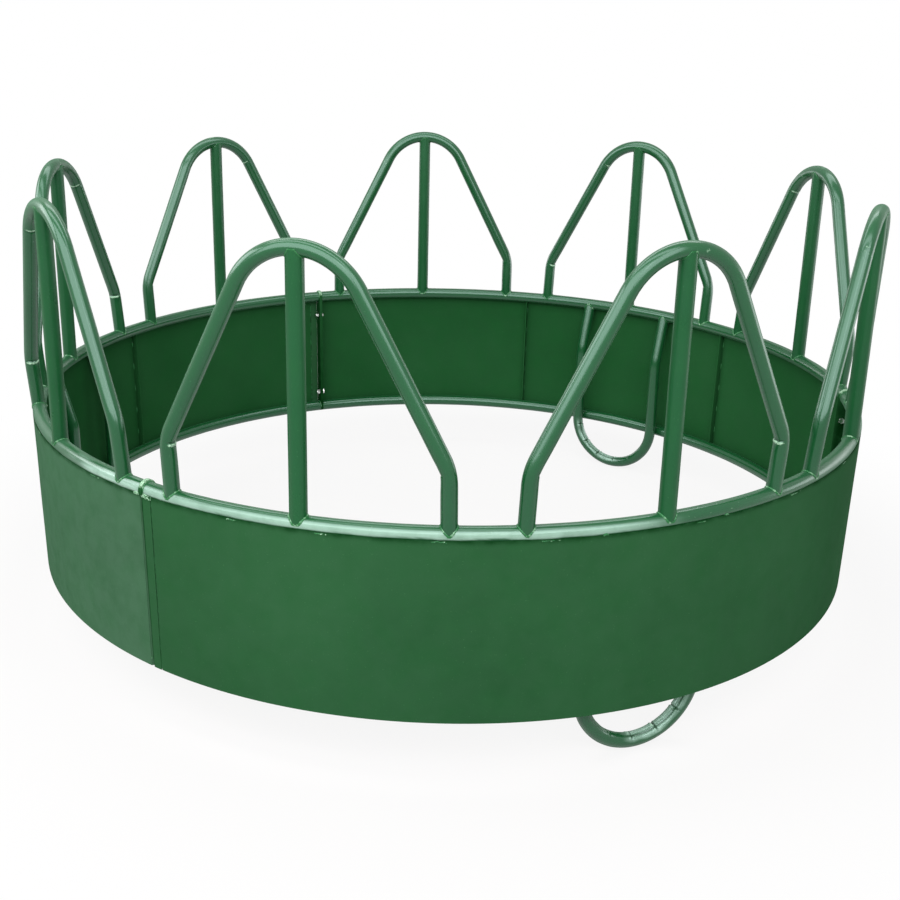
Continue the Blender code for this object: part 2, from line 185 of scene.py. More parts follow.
# Mesh density.
TUBE_SIDES = 32
BAR_SIDES = 36
BOLT_SIDES = 72
COARSE_STEP = 0.014
BEND_STEP = 0.005
CREASE_STEP = 0.0012
CREASE_REACH = 0.011
COPE_ROWS = 5
COPE_REACH = 0.045
RAIL_STEPS = 420
BAR_STEPS = 40
RIB_STEPS = 24
SHEET_STEPS = 150
STRIP_STEPS = 8
LIP_STEPS = 8
SHEET_ROWS = 40
THREAD_ROWS = 40
SHARP_ANGLE = radians(38)


def ring_point(angle, radius, height):
    """A point on the ring, at an angle from the middle of segment a."""
    return Vector((radius * sin(angle), -radius * cos(angle), height))


def outward(angle):
    return ring_point(angle, 1.0, 0.0)


def along_ring(angle):
    """Direction along the ring, to the right as seen from outside."""
    return Vector((cos(angle), sin(angle), 0.0))


def tipped(angle, rise):
    """Way out of the ring, tipped upward."""
    return (outward(angle) + UP * rise).normalized()


def segment_turn(letter):
    return 2 * SEGMENT_HALF * SEGMENTS.index(letter)


def around(sides):
    """Equal turns of a full circle."""
    return [tau * side / sides for side in range(sides)]


def bell(offset, width):
    return exp(-(offset / width) ** 2)


def clamp(value):
    return min(max(value, 0.0), 1.0)


def between(low, high, share):
    return low + (high - low) * share


def shares(steps):
    """Even shares from 0 to 1."""
    return [step / steps for step in range(steps + 1)]


def smoothstep(low, high, value):
    share = clamp((value - low) / (high - low))
    return share * share * (3 - 2 * share)


def waver(point, size, seed=0.0):
    """Smooth noise from -1 to 1 with features of a size."""
    return noise.noise(point / size + Vector((seed, 0.37 * seed, -0.71 * seed)))


def boxed(point):
    """A point kept within the solids' box."""
    return Vector([min(max(value, low + BOX_MARGIN), high - BOX_MARGIN)
                   for value, low, high in zip(point, *CAD_BOX)])


def add_object(name, data):
    thing = bpy.data.objects.new(name, data)
    bpy.context.scene.collection.objects.link(thing)
    return thing


def make_piece(name, verts, faces, material, marks, replaced=()):
    """A smooth-shaded piece that rides the body, marked with wear, painted light and painted shade."""
    mesh = bpy.data.meshes.new(name)
    mesh.from_pydata([boxed(vert) for vert in verts], [], faces)
    mesh.shade_smooth()
    mesh.set_sharp_from_angle(angle=SHARP_ANGLE)
    for key, values in marks.items():
        layer = mesh.attributes.new(key, "FLOAT", "POINT")
        layer.data.foreach_set("value", values)
    mesh.materials.append(material)
    piece = add_object(name, mesh)
    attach(piece, "root")
    if replaced:
        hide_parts(*replaced)


class Skin:
    """Vertices, faces and wear and painted-light marks gathered from several shells into one piece."""

    def __init__(self):
        self.verts, self.faces, self.wear_and_painted_light = [], [], []

    def rings(self, rings, wear_and_painted_light=None, closed=False):
        """A shell over rings of points, capped at both ends or closed on itself."""
        base, sides, count = len(self.verts), len(rings[0]), len(rings)
        for row, ring in enumerate(rings):
            self.verts.extend(ring)
            self.wear_and_painted_light.extend(wear_and_painted_light[row] if wear_and_painted_light else [0.0] * sides)
        for row in range(count if closed else count - 1):
            here = base + row * sides
            there = base + ((row + 1) % count) * sides
            for side in range(sides):
                beside = (side + 1) % sides
                self.faces.append((here + side, here + beside, there + beside, there + side))
        if not closed:
            last = base + (count - 1) * sides
            self.faces.append(tuple(base + side for side in reversed(range(sides))))
            self.faces.append(tuple(last + side for side in range(sides)))

    def piece(self, name, material, slot="green_enamel", replaced=(), **marks):
        """Make the piece. Above zero a mark is wear and painted highlight, below zero painted shade."""
        marks["wear_and_painted_light"] = [clamp(mark) for mark in self.wear_and_painted_light]
        marks.setdefault("grime", [clamp(-mark) for mark in self.wear_and_painted_light])
        make_piece(name, self.verts, self.faces, material, marks, replaced)


def shell_piece(name, ending, rings, wear_and_painted_light, material, bleach_of=None):
    """A piece of one shell, in a solid's place. The last argument gives how far a point is painted
    lighter.
    """
    skin = Skin()
    skin.rings(rings, wear_and_painted_light)
    marks = {"bleach": [bleach_of(point) for point in skin.verts]} if bleach_of else {}
    skin.piece(name + ending, material, replaced=[name], **marks)


class Path:
    """A route through points, measured along its length."""

    def __init__(self, points, closed=False):
        self.points = points + points[:1] if closed else points
        self.marks = [0.0]
        for before, after in zip(self.points, self.points[1:]):
            self.marks.append(self.marks[-1] + (after - before).length)
        self.length = self.marks[-1]

    def stretch(self, distance):
        """Which stretch between points a distance lies in, and how far along it."""
        index = min(max(bisect_right(self.marks, distance) - 1, 0), len(self.points) - 2)
        span = self.marks[index + 1] - self.marks[index]
        return index, (distance - self.marks[index]) / span

    def at(self, distance):
        index, share = self.stretch(distance)
        return self.points[index].lerp(self.points[index + 1], share)

    def direction(self, distance, reach=0.002):
        return (self.at(min(distance + reach, self.length))
                - self.at(max(distance - reach, 0.0))).normalized()

    def nearest(self, point):
        """Distance along the route of the corner nearest to a point."""
        index = min(range(len(self.points)), key=lambda i: (self.points[i] - point).length)
        return self.marks[index]


def stations(length, bends, creases):
    """Distances along a tube, close together in its bends and closer at its creases."""
    spots = [0.0]
    while spots[-1] < length:
        here = spots[-1]
        step = COARSE_STEP
        if any(low - COARSE_STEP < here < high for low, high in bends):
            step = BEND_STEP
        for crease in creases:
            if abs(here - crease) < CREASE_REACH:
                step = CREASE_STEP
            elif here < crease and here + step > crease - CREASE_REACH:
                step = min(step, max(crease - CREASE_REACH - here, CREASE_STEP))
        spots.append(here + step)
    spots[-1] = length
    return spots


def bend_dent(normal, spot, radius, start, end, inner, flattening, bent):
    """How far a bend draws in the skin of a tube."""
    share = smoothstep(start - 0.02, start + 0.01, spot)
    share *= 1 - smoothstep(end - 0.01, end + 0.02, spot)
    facing = max(normal.dot(inner), 0.0)
    dent = radius * flattening * share * facing ** 2
    if bent and start < spot < end:
        middle = abs(2 * (spot - start) / (end - start) - 1)
        gap = 1 / cos(bent / 2 * (1 - middle)) - 1
        dent += ((end - start) / bent - radius) * gap * facing ** 1.5
    return dent


def crease_lift(normal, spot, seed, place, inner, strength, lip_side, paleness):
    """How far a crease lifts a tube's skin, with a painted highlight on its lip and painted shade in its
    dip.
    """
    offset = (spot - place) * lip_side
    if abs(offset) >= 4 * CREASE_WIDTH:
        return 0.0, 0.0
    facing = smoothstep(0.0, 0.8, normal.dot(inner))
    wobble = 1 + 0.35 * waver(normal, 0.6, seed + place * 40)
    offset += 0.0015 * waver(normal, 0.5, seed + place * 90)
    dip = bell(offset, CREASE_WIDTH * 0.6)
    lip = bell(offset - 1.5 * CREASE_WIDTH, CREASE_WIDTH * (0.35 + 0.7 * facing))
    low = 0.4 * bell(offset + 1.5 * CREASE_WIDTH, CREASE_WIDTH * 0.7)
    lift = wobble * (CREASE_LIP * (lip + low) - CREASE_DEPTH * dip)
    # Above zero a painted highlight on the lip, below zero painted shade in the dip.
    mark = 1.5 * wobble * lip * paleness - 1.1 * dip
    return strength * facing * lift, strength * facing * mark


def scuff_mark(point, seed):
    """How far a high place is scuffed."""
    scuff = smoothstep(SCUFF_HEIGHT - 0.12, SCUFF_HEIGHT, point.z)
    scuff *= smoothstep(0.30, 0.62, waver(point, 0.045, seed + 2))
    return scuff * max(waver(point, 0.007, seed + 6) + 0.15, 0.0)


def tube_rings(path, radius, across, bends=(), creases=(), sides=TUBE_SIDES, seed=0.0):
    """Rings of a bent tube with its flattened bends and creases, and each point's wear and painted
    light.

    across is a direction roughly square to the route. A bend is (start, end, inner direction,
    flattening, turn), where a turn makes the inner side a kink instead of an arc. A crease is
    (distance, inner direction, strength, side of its lip, paleness of the lip).
    """
    spots = stations(path.length, [bend[:2] for bend in bends], [crease[0] for crease in creases])
    rings, wear_and_painted_light = [], []
    side_way = across.copy()
    for spot in spots:
        centre = path.at(spot)
        ahead = path.direction(spot)
        side_way = (side_way - ahead * side_way.dot(ahead)).normalized()
        up_way = ahead.cross(side_way)
        ring, marks = [], []
        for turn in around(sides):
            normal = side_way * cos(turn) + up_way * sin(turn)
            size, mark = radius, 0.0
            for bend in bends:
                size -= bend_dent(normal, spot, radius, *bend)
            for crease in creases:
                lift, shade = crease_lift(normal, spot, seed, *crease)
                size += lift
                mark += shade
            point = centre + normal * size
            ring.append(point + normal * PAINT_WAVE * waver(point, 0.055, seed))
            marks.append(mark + scuff_mark(point, seed))
        rings.append(ring)
        wear_and_painted_light.append(marks)
    return rings, wear_and_painted_light


def march(point, way, distance, limit):
    """Where a line first meets a tube, given the distance left to that tube's skin."""
    reach = 0.0
    while reach < limit:
        gap = distance(point + way * reach)
        if gap < 0.00002:
            break
        reach += max(gap * 0.7, 0.00005)
    return point + way * min(reach, limit)


def cope(rings, wear_and_painted_light, way, distance, limit):
    """Fit a tube's first ring to the tube that it stands on, and spread the rows between.

    Returns the line of contact.
    """
    contact = [march(point, way, distance, limit) for point in rings[0]]
    rows = []
    for row in range(COPE_ROWS):
        share = (row / COPE_ROWS) ** 1.5
        rows.append([low.lerp(high, share) for low, high in zip(contact, rings[0])])
    rings[:0] = rows
    wear_and_painted_light[:0] = [[0.0] * len(contact) for _ in rows]
    return contact


def turn_round(rings, wear_and_painted_light):
    """Start a tube from its other end."""
    rings.reverse()
    wear_and_painted_light.reverse()


def kept_in(point):
    """A point of a weld, drawn in where it would stand out past the tubes."""
    reach = hypot(point.x, point.y)
    if reach <= WELD_LIMIT:
        return point
    return Vector((point.x * WELD_LIMIT / reach, point.y * WELD_LIMIT / reach, point.z))


def bead(skin, spots, radius=BEAD_RADIUS, seed=0.0, worn_and_lit=1.0, closed=False):
    """A rippled weld bead through spots, each a point and the way out of the surfaces there."""
    path = Path([point for point, normal in spots], closed)
    normals = [normal for point, normal in spots + spots[:1]]
    count = max(int(path.length / BEAD_STEP), 6)
    rings, wear_and_painted_light = [], []
    for step in range(count if closed else count + 1):
        spot = path.length * step / count
        centre = path.at(spot)
        ahead = path.direction(spot % path.length, 0.0015)
        index, share = path.stretch(spot)
        up_way = normals[index].lerp(normals[index + 1], share)
        up_way = (up_way - ahead * up_way.dot(ahead)).normalized()
        side_way = ahead.cross(up_way)
        wave = sin(tau * spot / BEAD_RIPPLE + 1.5 * waver(centre, 0.006, seed))
        swell = 1 + 0.11 * wave + 0.28 * waver(centre, 0.013, seed + 3)
        if not closed:
            swell *= sqrt(max(smoothstep(0, BEAD_TAPER, min(spot, path.length - spot)), 0.03))
        size = radius * swell
        centre = centre + up_way * size * 0.15
        rings.append([kept_in(centre + (up_way * cos(turn) * 0.8 + side_way * sin(turn)) * size)
                      for turn in around(BEAD_SIDES)])
        # Pale marks on a bead: thin paint, and painted highlights.
        mark = worn_and_lit * clamp(0.25 + 0.9 * waver(centre, 0.009, seed + 7))
        wear_and_painted_light.append([mark] * BEAD_SIDES)
    skin.rings(rings, wear_and_painted_light, closed=closed)


def spatter(skin, place, normal, radius):
    """One frozen droplet on a surface."""
    side_way = normal.orthogonal().normalized()
    up_way = normal.cross(side_way)
    rings = []
    for lift, width in ((-0.5, 0.8), (0.1, 1.0), (0.6, 0.72), (0.85, 0.3)):
        rings.append([kept_in(place + normal * radius * lift
                              + (side_way * cos(t) + up_way * sin(t)) * radius * width)
                      for t in around(7)])
    skin.rings(rings, [[0.8] * 7] * 4)


def blob(skin, place, normal, radius, stretch, seed):
    """A rough lump of weld, stretched along a direction."""
    length = stretch.length
    side_way = stretch.normalized()
    side_way = (side_way - normal * side_way.dot(normal)).normalized()
    up_way = normal.cross(side_way)
    rings, wear_and_painted_light = [], []
    for row in range(9):
        lift = -0.5 + 1.45 * row / 8
        width = sqrt(max(1 - max(lift, 0.0) ** 2, 0.0)) if row < 8 else 0.05
        ring, marks = [], []
        for turn in around(18):
            way = side_way * cos(turn) * (1 + length / radius) + up_way * sin(turn)
            spot = place + (way * width + normal * lift * 0.55) * radius
            lump = waver(spot, 0.0045, seed) * 0.3 + waver(spot, 0.0018, seed + 5) * 0.12
            ring.append(kept_in(spot + (way.normalized() * width + normal) * radius * lump))
            # Pale marks on a lump: thin paint, and painted highlights.
            marks.append(clamp(0.75 + waver(spot, 0.003, seed + 9)))
        rings.append(ring)
        wear_and_painted_light.append(marks)
    skin.rings(rings, wear_and_painted_light)


# Materials.

def linear(red, green, blue):
    """A colour as seen on screen, 0 to 255, as linear light."""
    return tuple((value / 255) ** 2.2 for value in (red, green, blue)) + (1.0,)


DEEP_GREEN = linear(18, 64, 35)
PALE_GREEN = linear(27, 73, 42)
SHEET_DEEP = linear(28, 67, 37)
SHEET_PALE = linear(35, 75, 44)
WELD_DEEP = linear(27, 82, 44)
WELD_PALE = linear(46, 100, 58)
CLOUDED = linear(24, 76, 36)
SPECKLED = linear(84, 132, 92)
# Painted shade, painted light and a pale mark of worn paint with painted highlights, in this order.
SHADE_GREEN = linear(12, 46, 20)
PAINTED_LIGHT_COLOUR = linear(134, 164, 148)
WORN_AND_HIGHLIGHT = linear(158, 194, 164)
ZINC_DULL = linear(205, 208, 208)
ZINC_BRIGHT = linear(240, 241, 238)
GLOSS_TINT = (0.76, 1.0, 0.95, 1.0)
RIM_FACING = (0.50, 0.85)
RIM_DULLING = 0.5
WORN_AND_LIT_DULLING = 0.12
# Patches of noise: size, detail, roughness, the range that is used and what it becomes.
PATCHES = {
    "drift": (0.55, 4.0, 0.6, 0.32, 0.68, 0.0, 1.0),
    "cloud": (0.06, 3.0, 0.5, 0.42, 0.72, 0.0, 0.22),
    "speck": (0.0035, 2.0, 0.5, 0.69, 0.78, 0.0, 0.3),
    "grime": (0.03, 4.0, 0.6, 0.3, 0.6, 0.45, 1.0),
    "bleach": (0.05, 4.0, 0.6, 0.3, 0.6, 0.72, 1.0),
    "wear_and_painted_light": (0.004, 3.0, 0.6, 0.35, 0.6, 0.35, 1.0),
    "spangle": (0.0025, 3.0, 0.6, 0.35, 0.65, 0.0, 1.0),
    "handling": (0.0012, 3.0, 0.6, 0.3, 0.7, 0.24, 0.42),
}
# Places in a Mix node of its colour inputs and its colour result.
MIX_FIRST, MIX_SECOND, MIX_RESULT = 6, 7, 2


class Nodes:
    """Short calls for building the nodes of a material or a world."""

    def __init__(self, owner):
        owner.use_nodes = True
        self.owner = owner
        self.tree = owner.node_tree

    def give(self, node, inputs):
        """Set a node's inputs, or link them where the value is another node's output."""
        for key, value in inputs.items():
            if isinstance(value, bpy.types.NodeSocket):
                self.tree.links.new(value, node.inputs[key])
            else:
                node.inputs[key].default_value = value

    def add(self, kind, output, inputs, **settings):
        """A new node's output."""
        node = self.tree.nodes.new("ShaderNode" + kind)
        for key, value in settings.items():
            setattr(node, key, value)
        self.give(node, inputs)
        return node.outputs[output]

    def place(self):
        return self.add("TexCoord", "Object", {})

    def noise(self, size, detail=2.0, roughness=0.5):
        """Noise with features of a size in metres."""
        return self.add("TexNoise", "Fac", {"Vector": self.place(), "Scale": 1 / size,
                                            "Detail": detail, "Roughness": roughness})

    def remap(self, *inputs, **settings):
        """A value taken from one range, its low and high, to another."""
        return self.add("MapRange", "Result", dict(enumerate(inputs)), **settings)

    def patches(self, name):
        size, detail, roughness, *ranges = PATCHES[name]
        return self.remap(self.noise(size, detail, roughness), *ranges)

    def marks(self, name):
        """A mesh's marks of a name, broken up by patches."""
        mark = self.add("Attribute", "Fac", {}, attribute_name=name)
        return self.math("MULTIPLY", mark, self.patches(name))

    def math(self, operation, first, second):
        return self.add("Math", "Value", {0: first, 1: second}, operation=operation)

    def mix(self, share, first, second):
        inputs = {"Factor": share, MIX_FIRST: first, MIX_SECOND: second}
        return self.add("Mix", MIX_RESULT, inputs, data_type="RGBA")

    def bump(self, height, distance, strength, **below):
        inputs = {"Height": height, "Distance": distance, "Strength": strength, **below}
        return self.add("Bump", "Normal", inputs)


def enamel(name, deep, pale, smooth, dull, ripple, shine):
    """Glossy sprayed enamel: drifting colour, orange peel, thin paint on the high spots, and painted
    light and shade.
    """
    nodes = Nodes(bpy.data.materials.new(name))
    colour = nodes.mix(nodes.patches("drift"), deep, pale)
    colour = nodes.mix(nodes.patches("cloud"), colour, CLOUDED)
    colour = nodes.mix(nodes.patches("speck"), colour, SPECKLED)
    # Painted shade under rails, in grooves, seams, crease dips and the foot's fold, and on plates below
    # the rail.
    grime = nodes.marks("grime")
    colour = nodes.mix(grime, colour, SHADE_GREEN)
    # Painted light: highlights on rails, lighter outer sheet faces and a reflection on the foot, kept
    # off painted shade.
    bleach = nodes.math("MULTIPLY", nodes.marks("bleach"), nodes.math("SUBTRACT", 1.0, grime))
    colour = nodes.mix(bleach, colour, PAINTED_LIGHT_COLOUR)
    # Pale marks: worn paint on scuffs and welds, and painted highlights on crease lips, weld beads and
    # plate rims.
    worn_and_lit = nodes.remap(nodes.marks("wear_and_painted_light"), 0.25, 0.8, 0.0, 0.8)
    colour = nodes.mix(worn_and_lit, colour, WORN_AND_HIGHLIGHT)
    gloss = nodes.remap(nodes.noise(0.11, 4.0, 0.6), 0.3, 0.7, smooth, dull)
    gloss = nodes.math("ADD", gloss, nodes.math("MULTIPLY", worn_and_lit, WORN_AND_LIT_DULLING))
    rim = nodes.add("LayerWeight", "Facing", {})
    gloss = nodes.math("ADD", gloss, nodes.remap(rim, *RIM_FACING, 0.0, RIM_DULLING))
    normal = nodes.bump(nodes.noise(0.028), 0.0006, ripple)
    normal = nodes.bump(nodes.noise(0.0022), 0.00012, 0.12, Normal=normal)
    normal = nodes.bump(worn_and_lit, 0.0003, 0.5, Normal=normal)
    nodes.give(nodes.tree.nodes["Principled BSDF"], {
        "Base Color": colour, "Roughness": gloss, "Specular IOR Level": shine,
        "Specular Tint": GLOSS_TINT, "Normal": normal})
    return nodes.owner


def zinc(name):
    """Bright plating with a faint spangle and dull handling marks."""
    nodes = Nodes(bpy.data.materials.new(name))
    nodes.give(nodes.tree.nodes["Principled BSDF"], {
        "Base Color": nodes.mix(nodes.patches("spangle"), ZINC_DULL, ZINC_BRIGHT),
        "Metallic": 1.0, "Roughness": nodes.patches("handling"),
        "Normal": nodes.bump(nodes.noise(0.0006), 0.00004, 0.5)})
    return nodes.owner


TUBE_ENAMEL = enamel("enamel_tube", DEEP_GREEN, PALE_GREEN, 0.17, 0.25, 0.07, 0.59)
BAR_ENAMEL = enamel("enamel_bar", DEEP_GREEN, PALE_GREEN, 0.26, 0.36, 0.08, 0.30)
SHEET_ENAMEL = enamel("enamel_sheet", SHEET_DEEP, SHEET_PALE, 0.60, 0.72, 0.04, 0.02)
WELD_ENAMEL = enamel("enamel_weld", WELD_DEEP, WELD_PALE, 0.20, 0.32, 0.2, 0.3)
ZINC = zinc("zinc_plating")


# Rails.

def rail_gap(point, ring_radius, height):
    """Distance from a point to a rail's skin."""
    return hypot(hypot(point.x, point.y) - ring_radius, point.z - height) - TUBE_RADIUS


def top_gap(point):
    return rail_gap(point, RING_RADIUS, TOP_RAIL_Z)


def bottom_gap(point):
    return rail_gap(point, BOTTOM_RING_RADIUS, BOTTOM_RAIL_Z)


def rail_normal(point, ring_radius=RING_RADIUS, height=TOP_RAIL_Z):
    """Way out of a rail at a point on its skin."""
    axis = Vector((point.x, point.y, 0.0)).normalized() * ring_radius
    return (point - axis - UP * height).normalized()


def rail_skin(angle, bend, radius=RING_RADIUS, height=TOP_RAIL_Z):
    """A point of a rail's skin, at a bend up from its outer side, and the way out there."""
    way = outward(angle) * cos(bend) + UP * sin(bend)
    return ring_point(angle, radius, height) + way * TUBE_RADIUS, way


def rail_bleach(point, radius, height, turn, seed):
    """How far a rail carries a painted highlight at a point: the top rail's outer side, all along b,
    less on a and c.
    """
    way = rail_normal(point, radius, height)
    if height != TOP_RAIL_Z or way.x * point.x + way.y * point.y <= 0:
        return 0.0
    angle = degrees(atan2(point.x, -point.y) - turn) % 360
    angle -= 360 if angle > 180 else 0
    edge = 0.22 * waver(point, 0.07, seed) + 0.10 * waver(point, 0.018, seed)
    share = smoothstep(-0.40, -0.16, way.z + edge) * (1 - smoothstep(0.35, 0.8, way.z))
    if turn == 0.0:
        share *= 1 - smoothstep(*HIGHLIGHT_FADE, angle + 6 * waver(point, 0.2, seed))
    elif turn > pi:
        share *= smoothstep(*HIGHLIGHT_RISE, angle + 3 * waver(point, 0.1, seed))
    # Streaks added to the painted highlight towards the segment's right end.
    streaked = waver(Vector((angle * 0.25, way.z * 6, seed)), 1.0)
    share += 0.5 * smoothstep(*HIGHLIGHT_STREAK_START, angle) * smoothstep(0.0, 0.5, streaked)
    return RAIL_HIGHLIGHT * share


def build_rail(name, radius, height, turn, seed):
    points = [ring_point(turn + between(-RAIL_END, RAIL_END, share), radius, height)
              for share in shares(RAIL_STEPS)]
    rings, wear_and_painted_light = tube_rings(Path(points), TUBE_RADIUS, UP, seed=seed)
    shell_piece(name, "_tube", rings, wear_and_painted_light, TUBE_ENAMEL,
                lambda point: rail_bleach(point, radius, height, turn, seed))


# Loops and bars.

def arc(centre, radius, first, last, steps):
    turns = [between(first, last, share) for share in shares(steps)]
    return [(centre[0] + radius * cos(turn), centre[1] + radius * sin(turn)) for turn in turns]


def straight(first, last, step=0.01):
    """Points between two others, without the two."""
    steps = max(int(dist(first, last) / step), 1)
    return [(between(first[0], last[0], share), between(first[1], last[1], share))
            for share in shares(steps)[1:-1]]


def loop_outline():
    """Centreline of a loop in its own plane from right to left, and the turn of each leg's knee."""
    crown = (0.0, LOOP_LENGTH - LOOP_CROWN_RADIUS)
    reach = (LOOP_HALF_SPREAD - crown[0], LOOP_UPRIGHT - crown[1])
    touch = atan2(reach[1], reach[0]) + acos(LOOP_CROWN_RADIUS / hypot(*reach))
    knee_set = LOOP_KNEE_RADIUS * tan(touch / 2)
    knee_centre = (LOOP_HALF_SPREAD - LOOP_KNEE_RADIUS, LOOP_UPRIGHT - knee_set)
    knee = arc(knee_centre, LOOP_KNEE_RADIUS, 0.0, touch, 12)
    top = arc(crown, LOOP_CROWN_RADIUS, touch, pi / 2, 40)
    foot = (LOOP_HALF_SPREAD, COPE_REACH)
    half = [foot] + straight(foot, knee[0]) + knee + straight(knee[-1], top[0]) + top
    marks = {"knee": (knee[0], knee[-1]), "crown": (top[0], top[-1])}
    return half + [(-side, rise) for side, rise in half[-2::-1]], marks, touch


def in_loop(turn, side, rise):
    """A point of a loop's plane in space."""
    flat = Vector((side, -LOOP_CHORD - LOOP_LEAN * rise, TOP_RAIL_Z + LOOP_CLIMB * rise))
    return Matrix.Rotation(turn, 3, "Z") @ flat


def loop_way(turn, side, rise):
    """A direction of a loop's plane in space."""
    return Matrix.Rotation(turn, 3, "Z") @ Vector((side, -LOOP_LEAN * rise, LOOP_CLIMB * rise))


def crown_gap(turn, point):
    """Distance from a point to the skin of a loop's crown."""
    flat = Matrix.Rotation(-turn, 3, "Z") @ point
    rise_way = Vector((0, -LOOP_LEAN, LOOP_CLIMB))
    offset = flat - Vector((0, -LOOP_CHORD, TOP_RAIL_Z))
    rise = offset.dot(rise_way)
    beside = (offset - rise_way * rise - Vector((offset.x, 0, 0))).length
    along = hypot(offset.x, rise - LOOP_LENGTH + LOOP_CROWN_RADIUS)
    return hypot(along - LOOP_CROWN_RADIUS, beside) - TUBE_RADIUS


def saddle_bead(skin, contact, origin, axis, seed, radius=BEAD_RADIUS, normal_of=rail_normal,
                worn_and_lit=1.0):
    """A bead round the end of a tube that stands on another, given the tube's axis."""
    spots = []
    for point in contact:
        centre = origin + axis * (point - origin).dot(axis)
        spots.append((point, ((point - centre).normalized() + normal_of(point)).normalized()))
    bead(skin, spots, radius, seed, worn_and_lit, closed=True)


def stand_on_rail(skin, rings, wear_and_painted_light, ends, limit, seed):
    """Cope both ends of a tube on the top rail and weld them. An end is a point and a way out."""
    for sign, (origin, way) in zip((1, -1), ends):
        if sign == -1:
            turn_round(rings, wear_and_painted_light)
        contact = cope(rings, wear_and_painted_light, way, top_gap, limit)
        saddle_bead(skin, contact, origin, way, seed + sign)


def build_loop(label, seed, turn, skin):
    outline, marks, touch = loop_outline()
    path = Path([in_loop(turn, side, rise) for side, rise in outline])

    def spot(side, rise):
        return path.nearest(in_loop(turn, side, rise))

    bends, creases = [], []
    crown_side, crown_rise = marks["crown"][0]
    for sign in (1, -1):
        low, high = sorted(spot(sign * side, rise) for side, rise in marks["knee"])
        inner = loop_way(turn, -sign * cos(touch / 2), -sin(touch / 2))
        bends.append((low, high, inner, KNEE_FLATTENING, touch))
        depth = 1.0 if sign in DEEP_KNEES.get(label, ()) else FAINT_CREASE
        creases.append(((low + high) / 2 - sign * 0.003, inner, depth, -sign, 1.0))
        leg = loop_way(turn, -sign * cos(touch), -sin(touch))
        depth = 0.6 if sign in DEEP_CROWNS.get(label, ()) else FAINT_CREASE / 3
        creases.append((spot(sign * crown_side, crown_rise) + sign * 0.012, leg, depth, sign, 1.0))
    first, last = spot(crown_side, crown_rise), spot(-crown_side, crown_rise)
    down = loop_way(turn, 0, -1)
    bends.append((first, last, down, CROWN_FLATTENING, 0.0))
    creases.sort(key=lambda crease: crease[0])
    across = loop_way(turn, -1, 0)
    rings, wear_and_painted_light = tube_rings(path, TUBE_RADIUS, across, bends, creases, seed=seed)
    ends = [(in_loop(turn, side, 0.0), down) for side in (LOOP_HALF_SPREAD, -LOOP_HALF_SPREAD)]
    stand_on_rail(skin, rings, wear_and_painted_light, ends, COPE_REACH + 0.004, seed)
    shell_piece("tombstone_loop_" + label, "_tube", rings, wear_and_painted_light, TUBE_ENAMEL)


def build_bar(label, seed, turn, skin):
    low = ring_point(turn, RING_RADIUS, TOP_RAIL_Z + COPE_REACH)
    high = ring_point(turn, RING_RADIUS, TOP_RAIL_Z + LOOP_HEIGHT - COPE_REACH)
    path = Path([low.lerp(high, share) for share in shares(BAR_STEPS)])
    across = along_ring(turn)
    rings, wear_and_painted_light = tube_rings(path, BAR_RADIUS, across, sides=BAR_SIDES, seed=seed)
    limit = COPE_REACH - 0.002
    foot = cope(rings, wear_and_painted_light, -UP, top_gap, limit)
    saddle_bead(skin, foot, low, UP, seed)
    turn_round(rings, wear_and_painted_light)
    head = cope(rings, wear_and_painted_light, UP, lambda point: crown_gap(turn, point), limit)
    crown = in_loop(turn, 0.0, LOOP_LENGTH)

    def crown_normal(point):
        flat = point - crown
        return (flat - across * flat.dot(across)).normalized()

    saddle_bead(skin, head, low, UP, seed + 5, BEAD_RADIUS * 0.6, crown_normal, 0.6)
    shell_piece("centre_bar_" + label, "_tube", rings, wear_and_painted_light, BAR_ENAMEL)


# Feet.

def foot_route(turn):
    """Centreline of a foot from its right top end to its left, with its bend's centre and ends."""
    leg_ring = BOTTOM_RING_RADIUS - 2 * TUBE_RADIUS - GAP
    leg_depth = sqrt(leg_ring ** 2 - FOOT_HALF_SPREAD ** 2)
    top_depth = sqrt(RING_RADIUS ** 2 - FOOT_HALF_SPREAD ** 2)
    slant = atan2(top_depth - leg_depth, FOOT_KNEE_DROP)
    knee_set = FOOT_KNEE_RADIUS * tan(slant / 2)
    knee_centre = (leg_depth + FOOT_KNEE_RADIUS, TOP_RAIL_Z - FOOT_KNEE_DROP - knee_set)
    knee = arc(knee_centre, FOOT_KNEE_RADIUS, pi - slant, pi, 8)
    start = (top_depth - COPE_REACH * tan(slant), TOP_RAIL_Z - COPE_REACH)
    bend_z = FOOT_HALF_SPREAD + TUBE_RADIUS
    leg = [start] + straight(start, knee[0]) + knee + straight(knee[-1], (leg_depth, bend_z))
    bend = arc((0.0, bend_z), FOOT_HALF_SPREAD, 0.0, -pi, 90)
    points = [Vector((FOOT_HALF_SPREAD, -depth, height)) for depth, height in leg]
    points += [Vector((side, -leg_depth, height)) for side, height in bend]
    points += [Vector((-FOOT_HALF_SPREAD, -depth, height)) for depth, height in leg[::-1]]
    spin = Matrix.Rotation(turn, 3, "Z")
    centre = spin @ Vector((0.0, -leg_depth, bend_z))
    path = Path([spin @ point for point in points])
    return path, centre, path.marks[len(leg)], path.marks[len(leg) + len(bend) - 1]


